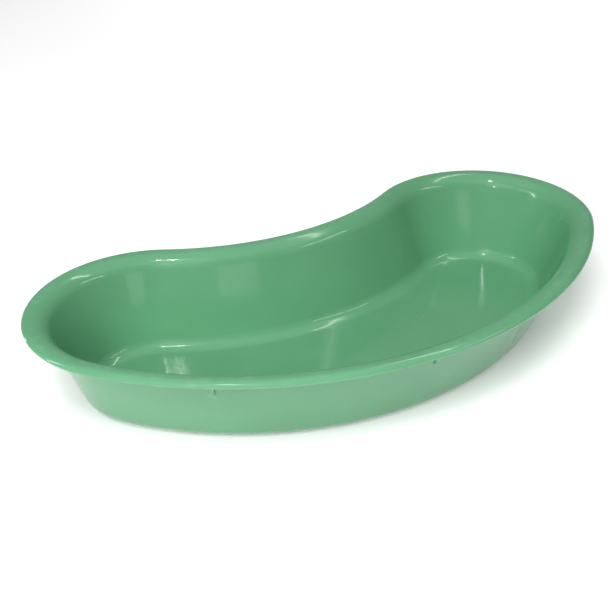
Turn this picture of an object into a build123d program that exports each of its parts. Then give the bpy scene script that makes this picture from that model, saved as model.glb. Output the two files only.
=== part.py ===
from build123d import *
from math import atan2, cos, degrees, radians, sin, sqrt
import os

# Kidney-shaped ward dish, moulded in one piece of glossy plastic. All sizes are in millimetres.
# +X runs along the dish, -Y points to the bulging belly, +Y to the hollow notch, and +Z is up.
# The origin is on the surface that the dish stands on, under the middle of its outline's box.

# Plan outline, at the outermost edge of the rim
overall_length = 300.0
overall_width = 159.0       # from the belly to the back of the round ends
lobe_radius = 57.2          # the round ends
notch_depth = 25.0          # from the back of the round ends in to the middle of the notch

# Section through the wall and rim
overall_height = 45.0
skin_thickness = 2.0
wall_draft = 20.0           # degrees that the wall leans out from upright
flare_radius = 9.7          # top face, where the wall turns outwards to the top of the rim
roll_radius = 4.0           # top face, where the rim turns down again to its edge
roll_angle = 50.0           # degrees that the rim's edge has turned down from level
fillet_radius = 8.0         # top face, where the floor turns up into the wall

# Stacking ribs, under the rim on the belly: one in the middle and one to each side
rib_width = 2.0
rib_depth = 1.2             # how far they stand off the wall
rib_foot = 29.5             # height of their lower ends
rib_taper = 3.0             # length up the wall over which they rise to that depth
rib_angle = 34.3            # degrees round the belly from the middle one to the others
rib_root = 0.3              # how far they are sunk into the wall

# Underside
foot_land = 7.0             # width of the flat band that the dish stands on
foot_recess = 0.5           # how far the panel inside that band is raised
gate_radius = 2.0           # scar where the plastic entered the mould
gate_height = 0.3

# The outline is four arcs, each tangent to the next: belly, lobe, notch, lobe.
lobe_x = overall_length / 2 - lobe_radius
lobe_y = overall_width / 2 - lobe_radius
belly_drop = overall_width - 2 * lobe_radius
belly_y = lobe_y + (lobe_x**2 - belly_drop**2) / (2 * belly_drop)
belly_radius = belly_y + overall_width / 2
notch_y = lobe_y + (lobe_x**2 - notch_depth**2) / (2 * notch_depth)
notch_radius = notch_y - overall_width / 2 + notch_depth

# Directions, in degrees, to the points where two arcs meet: from the belly's centre to where it meets
# the right lobe, and from the right lobe's centre to where it meets the notch
belly_to_lobe = degrees(atan2(lobe_y - belly_y, lobe_x))
lobe_to_notch = degrees(atan2(notch_y - lobe_y, -lobe_x))

# Each arc, anticlockwise about its centre: centre, radius, first and last direction from the centre,
# and 1 where the outline bulges out or -1 where it hollows in
arcs = [
    ((0, belly_y), belly_radius, -180 - belly_to_lobe, belly_to_lobe, 1),
    ((lobe_x, lobe_y), lobe_radius, belly_to_lobe, lobe_to_notch, 1),
    ((0, notch_y), notch_radius, -lobe_to_notch, lobe_to_notch - 180, -1),
    ((-lobe_x, lobe_y), lobe_radius, 180 - lobe_to_notch, 180 - belly_to_lobe, 1),
]

# The section's x is the distance out from the rim's edge, so it is negative inside the outline, and
# its y is the height. The skin's two faces are parallel, so each pair of arcs shares one centre.
lean = radians(wall_draft)
roll = radians(roll_angle)
lip_radius = skin_thickness / 2
rim_top_x = -lip_radius - (roll_radius - lip_radius) * sin(roll)
roll_centre = (rim_top_x, overall_height - roll_radius)
flare_centre = (rim_top_x, overall_height - flare_radius)
fillet_y = skin_thickness + fillet_radius
wall_head_x = flare_centre[0] - flare_radius * cos(lean)
wall_head_y = flare_centre[1] + flare_radius * sin(lean)
floor_edge = wall_head_x - (fillet_radius + (wall_head_y - fillet_y) * sin(lean)) / cos(lean)
fillet_centre = (floor_edge, fillet_y)


def on_circle(centre, radius, angle):
    """The point on a circle in a direction given in degrees."""
    return (centre[0] + radius * cos(radians(angle)), centre[1] + radius * sin(radians(angle)))


def skin_face(depth):
    """The section's edges from the floor out to the lip, at a depth below the top face."""
    wall_foot = on_circle(fillet_centre, fillet_radius + depth, -wall_draft)
    wall_head = on_circle(flare_centre, flare_radius - depth, 180 - wall_draft)
    return [
        CenterArc(fillet_centre, fillet_radius + depth, -90, 90 - wall_draft),
        Line(wall_foot, wall_head),
        CenterArc(flare_centre, flare_radius - depth, 180 - wall_draft, wall_draft - 90),
        CenterArc(roll_centre, roll_radius - depth, 90, -roll_angle),
    ]


def wall_section():
    """The wall and rim cut across, from the floor's edge out to the rounded lip."""
    floor_end = Line((floor_edge, 0), (floor_edge, skin_thickness))
    lip_centre = on_circle(roll_centre, roll_radius - lip_radius, 90 - roll_angle)
    lip = CenterArc(lip_centre, lip_radius, 90 - roll_angle, -180)
    return make_face([floor_end, *skin_face(0), lip, *skin_face(skin_thickness)])


def across_rim(centre, radius, angle):
    """Where the section lies, across an arc of the rim in a direction from the arc's centre."""
    outward = (cos(radians(angle)), sin(radians(angle)), 0)
    upright_plane = Plane(origin=(*centre, 0), x_dir=outward, z_dir=(outward[1], -outward[0], 0))
    return upright_plane * Pos(radius, 0)


def swept_wall(centre, radius, first, last, bulge):
    """The section carried round one arc of the outline."""
    section = wall_section()
    if bulge < 0:
        section = section.mirror(Plane.YZ)
    upright = Axis((*centre, 0), (0, 0, 1))
    return revolve(across_rim(centre, radius, first) * section, upright, last - first)


def stacking_rib(angle):
    """A rib down the outside of the wall from under the rim, at an angle from the belly's middle."""
    under_flare = flare_radius - skin_thickness
    head = on_circle(flare_centre, under_flare, 180 - wall_draft)

    def off_wall(up, out):
        return (head[0] + up * sin(lean) + out * cos(lean), head[1] + up * cos(lean) - out * sin(lean))

    # The top runs straight on, past where the wall turns outwards, until it is buried in the flare
    top = sqrt((under_flare + 2 * rib_root)**2 - (under_flare - rib_depth)**2)
    foot = (rib_foot - head[1]) / cos(lean)
    corners = [off_wall(foot, -rib_root), off_wall(foot, 0), off_wall(foot + rib_taper, rib_depth),
               off_wall(top, rib_depth), off_wall(top / 2, -rib_root)]
    profile = make_face(Polyline(*corners, close=True))
    return extrude(across_rim((0, belly_y), belly_radius, angle - 90) * profile, rib_width / 2, both=True)


def plan_face(inset):
    """The plan outline moved in by the same distance all round."""
    edges = []
    for centre, radius, first, last, bulge in arcs:
        edges.append(CenterArc(centre, radius - bulge * inset, first, last - first))
    return make_face(edges)


# Wall and rim round a flat floor. The panel under the floor is raised off the foot band, and the gate
# scar hangs from it, halfway between the belly and the notch.
floor = extrude(plan_face(-floor_edge), skin_thickness)
dish = floor.fuse(*[swept_wall(*arc) for arc in arcs])
dish = dish.fuse(*[stacking_rib(angle) for angle in (-rib_angle, 0, rib_angle)])
dish -= extrude(plan_face(foot_land - floor_edge), foot_recess)
gate_scar = Cylinder(gate_radius, gate_height, align=(Align.CENTER, Align.CENTER, Align.MAX))
dish += Pos(0, -notch_depth / 2, foot_recess) * gate_scar

os.makedirs("parts", exist_ok=True)
dish.label = "kidney_dish"
export_step(dish, "parts/kidney_dish.step")
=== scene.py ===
from math import atan2, cos, pi, radians, sin, sqrt

import bmesh
import bpy
from mathutils import Matrix, Vector


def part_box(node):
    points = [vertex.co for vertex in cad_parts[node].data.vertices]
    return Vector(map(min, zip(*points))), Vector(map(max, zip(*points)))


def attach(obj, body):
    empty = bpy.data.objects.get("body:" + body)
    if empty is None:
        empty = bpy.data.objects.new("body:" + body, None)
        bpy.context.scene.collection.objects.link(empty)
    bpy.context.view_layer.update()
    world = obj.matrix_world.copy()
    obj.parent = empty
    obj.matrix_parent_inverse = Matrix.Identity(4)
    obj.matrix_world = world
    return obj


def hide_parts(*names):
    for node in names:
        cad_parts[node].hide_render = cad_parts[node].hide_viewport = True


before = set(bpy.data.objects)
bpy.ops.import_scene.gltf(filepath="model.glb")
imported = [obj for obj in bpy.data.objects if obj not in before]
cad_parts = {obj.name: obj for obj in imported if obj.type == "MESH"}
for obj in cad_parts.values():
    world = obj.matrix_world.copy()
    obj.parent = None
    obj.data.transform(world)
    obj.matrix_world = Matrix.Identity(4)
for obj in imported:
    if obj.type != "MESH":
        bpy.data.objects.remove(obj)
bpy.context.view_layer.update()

# The dish: one injection moulding of glossy green plastic, 2 mm thick all over. The wall leans out
# so that dishes leave the mould and stack, and the rolled rim stiffens it and gives fingers a hold.
# Its section is drawn at the notch, swept round the right half, and mirrored to the left.

dish_low, dish_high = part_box("kidney_dish")
dish_length = 2 * dish_high.x
dish_width = 2 * dish_high.y
dish_height = dish_high.z
lobe_radius = 0.0572            # the round ends, at the rim's edge
notch_depth = 0.025
skin = 0.002                    # thickness of the floor, wall and rim
wall_draft = radians(20)
flare_radius = 0.0097           # top face, where the wall turns out to the top of the rim
roll_radius = 0.004             # top face, where the rim turns down again to its edge
roll_angle = radians(50)        # how far the rim's edge has turned down from level
fillet_radius = 0.008           # top face, where the floor turns up into the wall
foot_land = 0.007               # flat band that the dish stands on
foot_recess = 0.0005            # how far the panel inside that band is raised
floor_margin = 0.003            # level strip of floor drawn with the section
lip_radius = skin / 2
rib_width = 0.002               # stacking ribs, under the rim on the belly
rib_depth = 0.0012              # how far they stand off the wall
rib_foot = 0.0295               # height of their lower ends
rib_taper = 0.003               # length up the wall over which they rise to that depth
rib_angle = radians(34.3)       # round the belly from the middle one to the others
rib_root = 0.0003               # how far they are sunk into the wall
gate_radius = 0.002             # scar where the plastic entered the mould
gate_height = 0.0003
edge_round = 0.0002             # bevel on the edges of the foot, ribs and floor panel
sharp_edge = radians(45)        # edges that turn more than this get that bevel
smooth_edge = radians(40)       # edges that turn less than this are shaded smooth
seam_gap = 0.00001              # points this close across the middle are joined

# How many flat steps each stretch of the section and of the outline is drawn with
fillet_steps, wall_steps, flare_steps, roll_steps, lip_steps = 12, 8, 16, 10, 12
notch_steps, lobe_steps, belly_steps = 40, 90, 70
gate_sides = 48

# The outline's arcs, each tangent to the next: notch, lobe and belly
lobe_x = dish_length / 2 - lobe_radius
lobe_y = dish_width / 2 - lobe_radius
belly_drop = dish_width - 2 * lobe_radius
belly_y = lobe_y + (lobe_x**2 - belly_drop**2) / (2 * belly_drop)
notch_y = lobe_y + (lobe_x**2 - notch_depth**2) / (2 * notch_depth)
belly_to_lobe = atan2(lobe_y - belly_y, lobe_x)
lobe_to_notch = atan2(notch_y - lobe_y, -lobe_x)

# Centres and ends of the section's arcs, in the plane x = 0
wall_turn = pi / 2 - wall_draft
away_from_wall = Vector((0, -cos(wall_draft), sin(wall_draft)))
rim_edge_y = dish_width / 2 - notch_depth
rim_top_y = rim_edge_y - lip_radius - (roll_radius - lip_radius) * sin(roll_angle)
roll_centre = Vector((0, rim_top_y, dish_height - roll_radius))
lip_centre = roll_centre + (roll_radius - lip_radius) * Vector((0, sin(roll_angle), cos(roll_angle)))
flare_centre = Vector((0, rim_top_y, dish_height - flare_radius))
wall_head = flare_centre + flare_radius * away_from_wall
fillet_z = skin + fillet_radius
fillet_in = (fillet_radius + (wall_head.z - fillet_z) * sin(wall_draft)) / cos(wall_draft)
fillet_centre = Vector((0, wall_head.y - fillet_in, fillet_z))
wall_foot = fillet_centre - fillet_radius * away_from_wall


def line_to(point, steps=1):
    """Extrude the section's selected end to a point in the plane x = 0."""
    section = bpy.context.edit_object
    section.update_from_editmode()
    tip = next(v.co for v in section.data.vertices if v.select)
    step = (Vector(point) - tip) / steps
    for _ in range(steps):
        bpy.ops.mesh.extrude_region_move(TRANSFORM_OT_translate={"value": step})


def arc(angle, steps, centre, axis=(1, 0, 0)):
    """Extrude what is selected round a centre, anticlockwise as seen from the axis's tip."""
    bpy.ops.mesh.spin(steps=steps, angle=-angle, center=centre, axis=axis)


bpy.ops.object.select_all(action="DESELECT")
bpy.ops.mesh.primitive_plane_add(size=floor_margin)
dish = bpy.context.object
dish.name = "dish_moulding"
bpy.ops.object.mode_set(mode="EDIT")
bpy.ops.mesh.merge(type="CENTER")
bpy.ops.transform.translate(value=(0, fillet_centre.y - floor_margin, skin))
line_to((0, fillet_centre.y, skin))
arc(wall_turn, fillet_steps, fillet_centre)
line_to(wall_head, wall_steps)
arc(-wall_turn, flare_steps, flare_centre)
arc(-roll_angle, roll_steps, roll_centre)
arc(-pi, lip_steps, lip_centre)
arc(roll_angle, roll_steps, roll_centre)
arc(wall_turn, flare_steps, flare_centre)
line_to(wall_foot - skin * away_from_wall, wall_steps)
arc(-wall_turn, fillet_steps, fillet_centre)
line_to((0, fillet_centre.y - foot_land, 0))
line_to((0, fillet_centre.y - foot_land, foot_recess))
line_to((0, fillet_centre.y - foot_land - floor_margin, foot_recess))

bpy.ops.mesh.select_all(action="SELECT")
arc(lobe_to_notch - pi / 2, notch_steps, (0, notch_y, 0), axis=(0, 0, 1))
arc(belly_to_lobe - lobe_to_notch, lobe_steps, (lobe_x, lobe_y, 0), axis=(0, 0, 1))
arc(-pi / 2 - belly_to_lobe, belly_steps, (0, belly_y, 0), axis=(0, 0, 1))
bpy.ops.object.mode_set(mode="OBJECT")
mirror = dish.modifiers.new("left_half", "MIRROR")
mirror.merge_threshold = seam_gap
bpy.ops.object.modifier_apply(modifier=mirror.name)

bpy.ops.object.mode_set(mode="EDIT")
bpy.ops.mesh.select_all(action="SELECT")
bpy.ops.mesh.fill_holes(sides=0)
bpy.ops.mesh.select_all(action="SELECT")
bpy.ops.mesh.normals_make_consistent(inside=False)
bpy.ops.mesh.select_all(action="DESELECT")
bpy.ops.mesh.edges_select_sharp(sharpness=sharp_edge)
bpy.ops.mesh.bevel(offset=edge_round, segments=2, affect="EDGES")
bpy.ops.object.mode_set(mode="OBJECT")

# Three short ribs down the outside of the belly's wall keep stacked dishes from jamming together.
# One is shaped upright, leant with the wall about the point where the flare starts, and repeated.
under_flare = flare_radius - skin
outer_head = flare_centre + under_flare * away_from_wall
rib_top = sqrt((under_flare + 2 * rib_root)**2 - (under_flare - rib_depth)**2)
rib_length = rib_top + (outer_head.z - rib_foot) / cos(wall_draft)
head_in = rim_edge_y - outer_head.y

bpy.ops.object.select_all(action="DESELECT")
bpy.ops.mesh.primitive_cube_add(size=1)
ribs = bpy.context.object
bpy.ops.object.mode_set(mode="EDIT")
bpy.ops.transform.resize(value=(rib_width, rib_depth + rib_root, rib_length))
bpy.ops.mesh.select_all(action="DESELECT")
edit = bmesh.from_edit_mesh(ribs.data)
for vert in edit.verts:
    vert.select = vert.co.z < 0 and vert.co.y < 0
edit.select_flush(True)
bpy.ops.transform.translate(value=(0, 0, rib_taper))
bpy.ops.mesh.select_all(action="SELECT")
bpy.ops.mesh.bevel(offset=edge_round, segments=2, affect="EDGES")
bpy.ops.transform.translate(value=(0, (rib_root - rib_depth) / 2, rib_top - rib_length / 2))
bpy.ops.transform.rotate(value=-wall_draft, orient_axis="X", center_override=(0, 0, 0))
bpy.ops.transform.translate(value=(0, head_in - dish_width / 2, outer_head.z))
bpy.ops.transform.rotate(value=rib_angle, orient_axis="Z", center_override=(0, belly_y, 0))
bpy.ops.mesh.spin(dupli=True, steps=2, angle=-2 * rib_angle, center=(0, belly_y, 0), axis=(0, 0, 1))

# The gate scar, left where the plastic entered the mould, hangs from the raised panel under the floor.
# It is halfway between the belly and the notch, and is fused to the dish along with the ribs.
bpy.ops.mesh.select_all(action="DESELECT")
bpy.ops.mesh.primitive_cylinder_add(vertices=gate_sides, radius=gate_radius, depth=2 * gate_height,
                                    location=(0, -notch_depth / 2, foot_recess))
bpy.ops.mesh.bevel(offset=edge_round / 2, segments=2, affect="EDGES")
bpy.ops.object.mode_set(mode="OBJECT")

fuse = dish.modifiers.new("fuse", "BOOLEAN")
fuse.operation = "UNION"
fuse.object = ribs
bpy.ops.object.select_all(action="DESELECT")
dish.select_set(True)
bpy.context.view_layer.objects.active = dish
bpy.ops.object.modifier_apply(modifier=fuse.name)
bpy.data.objects.remove(ribs)
bpy.ops.object.shade_smooth_by_angle(angle=smooth_edge)

# Glossy green plastic, coloured right through. It has a slightly cloudy pigment, the faint ripple of a
# moulded skin, hairline scratches where things were set down, and dull scuffs on the rim and the foot.
deep_green = (0.090, 0.278, 0.140, 1)
light_green = (0.108, 0.318, 0.166, 1)
scuffed_green = (0.200, 0.430, 0.290, 1)
clean_roughness = 0.10
cloudy_roughness = 0.15
scratched_roughness = 0.30
scuffed_roughness = 0.42
refraction = 1.56
ripple_height = 0.00012         # metres, as are the next two
orange_peel_height = 0.000004
scratch_depth = 0.000002
rim_scuff = 0.35                # how strong the rim's scuffs are beside the foot's
scuff_tint = 0.7                # how far scuffs and scratches take on the scuffed colour
scratch_tint = 0.25
faint_scratch = 0.15            # scratches high up the wall, beside those near the floor

green = bpy.data.materials.new("glossy_green_plastic")
green.use_nodes = True
tree = green.node_tree
shader = tree.nodes["Principled BSDF"]
shader.inputs["IOR"].default_value = refraction
place = tree.nodes.new("ShaderNodeTexCoord").outputs["Object"]


def noise(scale, detail=2, stretch=(1, 1, 1), turn=0):
    """A noise from 0 to 1 with so many lumps a metre, stretched and turned in plan if asked."""
    layout = tree.nodes.new("ShaderNodeMapping")
    layout.vector_type = "TEXTURE"
    layout.inputs["Rotation"].default_value = (0, 0, turn)
    layout.inputs["Scale"].default_value = stretch
    tree.links.new(place, layout.inputs["Vector"])
    lumps = tree.nodes.new("ShaderNodeTexNoise")
    lumps.inputs["Scale"].default_value = scale
    lumps.inputs["Detail"].default_value = detail
    tree.links.new(layout.outputs["Vector"], lumps.inputs["Vector"])
    return lumps.outputs["Fac"]


def ranged(value, low, high, to_low=0.0, to_high=1.0):
    """Stretch what lies between low and high to a new range, and clip the rest."""
    stretched = tree.nodes.new("ShaderNodeMapRange")
    for name, number in (("From Min", low), ("From Max", high), ("To Min", to_low), ("To Max", to_high)):
        stretched.inputs[name].default_value = number
    tree.links.new(value, stretched.inputs["Value"])
    return stretched.outputs["Result"]


def maths(operation, first, second):
    """Combine two values, each an output or a plain number."""
    result = tree.nodes.new("ShaderNodeMath")
    result.operation = operation
    for value, socket in zip((first, second), result.inputs):
        if isinstance(value, (int, float)):
            socket.default_value = value
        else:
            tree.links.new(value, socket)
    return result.outputs["Value"]


def blend(factor, first, second):
    """Mix two colours, each an output or a plain colour."""
    mix = tree.nodes.new("ShaderNodeMix")
    mix.data_type = "RGBA"
    tree.links.new(factor, mix.inputs["Factor"])
    for value, socket in ((first, mix.inputs["A"]), (second, mix.inputs["B"])):
        if isinstance(value, tuple):
            socket.default_value = value
        else:
            tree.links.new(value, socket)
    return mix.outputs["Result"]


def hairlines(turn, per_metre):
    """Thin broken scratches that run one way in plan."""
    streaks = noise(per_metre, detail=1, stretch=(60, 1, 4), turn=turn)
    lines = maths("SUBTRACT", 1, ranged(maths("ABSOLUTE", maths("SUBTRACT", streaks, 0.5), 0), 0, 0.012))
    return maths("MULTIPLY", lines, ranged(noise(90, stretch=(3, 1, 1), turn=turn), 0.55, 0.68))


axes = tree.nodes.new("ShaderNodeSeparateXYZ")
tree.links.new(place, axes.inputs["Vector"])
height = axes.outputs["Z"]

# Scuffs come in patches, on the last half millimetre or so at the top of the rim and under the foot
patches = noise(160, detail=4)
rim_top = ranged(height, dish_height - 0.0006, dish_height - 0.0001)
on_rim = maths("MULTIPLY", rim_top, ranged(patches, 0.5, 0.75))
on_foot = maths("MULTIPLY", ranged(height, 0.0004, 0.0001), ranged(patches, 0.35, 0.6))
scuffs = maths("MAXIMUM", maths("MULTIPLY", on_rim, rim_scuff), on_foot)

# Scratches run three ways in plan, and are plainest on the floor and the first centimetre of the wall
low_down = maths("MULTIPLY", ranged(height, 0.012, 0.003), ranged(height, 0.0008, 0.0015))
scratches = maths("MAXIMUM", hairlines(radians(24), 1500), hairlines(radians(-41), 1900))
scratches = maths("MAXIMUM", scratches, hairlines(radians(78), 1300))
plainness = maths("ADD", faint_scratch, maths("MULTIPLY", low_down, 1 - faint_scratch))
scratches = maths("MULTIPLY", scratches, plainness)

clouds = noise(22, detail=4)
speckle = noise(2600, detail=1)
pigment = maths("ADD", maths("MULTIPLY", ranged(clouds, 0.3, 0.7), 0.75), maths("MULTIPLY", speckle, 0.25))
colour = blend(pigment, deep_green, light_green)
colour = blend(maths("MULTIPLY", scratches, scratch_tint), colour, scuffed_green)
colour = blend(maths("MULTIPLY", scuffs, scuff_tint), colour, scuffed_green)
tree.links.new(colour, shader.inputs["Base Color"])

roughness = ranged(noise(35, detail=3), 0.35, 0.65, clean_roughness, cloudy_roughness)
roughness = maths("MAXIMUM", roughness, maths("MULTIPLY", scratches, scratched_roughness))
roughness = maths("MAXIMUM", roughness, maths("MULTIPLY", scuffs, scuffed_roughness))
tree.links.new(roughness, shader.inputs["Roughness"])

# The ripple of the skin, its fine orange peel, and the scratches, which cut in and so are inverted
surface = None
reliefs = ((noise(55, detail=1), ripple_height, False), (noise(420, detail=2), orange_peel_height, False),
           (scratches, scratch_depth, True))
for relief, depth, cuts_in in reliefs:
    bump = tree.nodes.new("ShaderNodeBump")
    bump.inputs["Distance"].default_value = depth
    bump.invert = cuts_in
    tree.links.new(relief, bump.inputs["Height"])
    if surface:
        tree.links.new(surface, bump.inputs["Normal"])
    surface = bump.outputs["Normal"]
tree.links.new(surface, shader.inputs["Normal"])

dish.data.materials.append(green)
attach(dish, "root")
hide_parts("kidney_dish")

# Studio: a wide pale matt floor that glows a little, under an even white sky. Separate lamps shade
# the dish and shine in it, and the camera looks down on it from the front left.
floor_size = 20
floor_grey = 0.9
floor_roughness = 0.9
floor_glow = 0.2
sky_strength = 0.25

bpy.ops.object.select_all(action="DESELECT")
bpy.ops.mesh.primitive_plane_add(size=floor_size, location=(0, 0, 0))
floor = bpy.context.object
floor.name = "studio_floor"
pale = bpy.data.materials.new("pale_floor")
pale.use_nodes = True
pale_shader = pale.node_tree.nodes["Principled BSDF"]
pale_shader.inputs["Base Color"].default_value = (floor_grey, floor_grey, floor_grey, 1)
pale_shader.inputs["Roughness"].default_value = floor_roughness
pale_shader.inputs["Emission Color"].default_value = (1, 1, 1, 1)
pale_shader.inputs["Emission Strength"].default_value = floor_glow
floor.data.materials.append(pale)

scene = bpy.context.scene
scene.view_settings.view_transform = "Standard"
world = bpy.data.worlds.new("studio")
scene.world = world
world.use_nodes = True
sky = world.node_tree.nodes["Background"]
sky.inputs["Color"].default_value = (1, 1, 1, 1)
sky.inputs["Strength"].default_value = sky_strength


def light(name, bearing, rise, distance, width, height, watts, seen_in):
    """A flat lamp aimed at the dish, seen in its shading or its gloss. Bearing is from -Y towards +X."""
    turn, lift = radians(bearing), radians(rise)
    away = Vector((sin(turn) * cos(lift), -cos(turn) * cos(lift), sin(lift)))
    lamp = bpy.data.lights.new(name, "AREA")
    lamp.shape = "RECTANGLE"
    lamp.size = width
    lamp.size_y = height
    lamp.energy = watts
    holder = bpy.data.objects.new(name, lamp)
    scene.collection.objects.link(holder)
    holder.location = Vector((0, 0, dish_height / 2)) + distance * away
    holder.rotation_euler = away.to_track_quat("Z", "Y").to_euler()
    holder.visible_diffuse = seen_in != "gloss"
    holder.visible_glossy = seen_in != "shading"


# Soft light from the front left and a low fill from behind shade the dish
light("key_low", -50, 32, 1.2, 0.6, 0.5, 7.5, "shading")
light("key_high", -45, 58, 1.2, 0.6, 0.5, 12.5, "shading")
light("fill_behind", 135, 12, 1.2, 0.6, 0.5, 6, "shading")

# Dim panels, and small lamps, that only show as reflections
light("ceiling", 0, 89, 1.0, 1.3, 1.3, 2.4, "gloss")
light("left_window", -105, 36, 1.2, 0.4, 0.3, 0.4, "gloss")
light("front_left_panel", -65, 46, 1.2, 0.7, 0.35, 0.8, "gloss")
light("front_window", -9, 13, 1.2, 0.4, 0.22, 0.22, "gloss")
light("right_tube", 98, 61, 1.2, 0.75, 0.03, 0.9, "gloss")
light("front_right_tube", 46, 38, 1.2, 0.6, 0.03, 0.7, "gloss")
light("lamp_high", -53, 70, 2.0, 0.06, 0.06, 2.4, "gloss")
light("lamp_front", -53, 34, 1.2, 0.03, 0.03, 0.5, "gloss")
light("lamp_left", -116, 26, 1.05, 0.03, 0.40, 1.0, "gloss")
light("lamp_far_left", -145, 3, 1.13, 0.03, 0.12, 0.3, "gloss")

camera_azimuth = radians(-29.2)     # round from -Y towards +X
camera_elevation = radians(29.6)
camera_roll = radians(-1.4)
camera_distance = 0.5295
camera_lens = 63.7                  # millimetres
look_at = Vector((-0.0129, 0.0245, 0.020))
camera_data = bpy.data.cameras.new("camera")
camera_data.lens = camera_lens
camera = bpy.data.objects.new("camera", camera_data)
scene.collection.objects.link(camera)
back = Vector((sin(camera_azimuth) * cos(camera_elevation), -cos(camera_azimuth) * cos(camera_elevation),
               sin(camera_elevation)))
camera.location = look_at + camera_distance * back
turn_to_view = (-back).to_track_quat("-Z", "Y").to_matrix() @ Matrix.Rotation(camera_roll, 3, "Z")
camera.rotation_euler = turn_to_view.to_euler()
scene.camera = camera
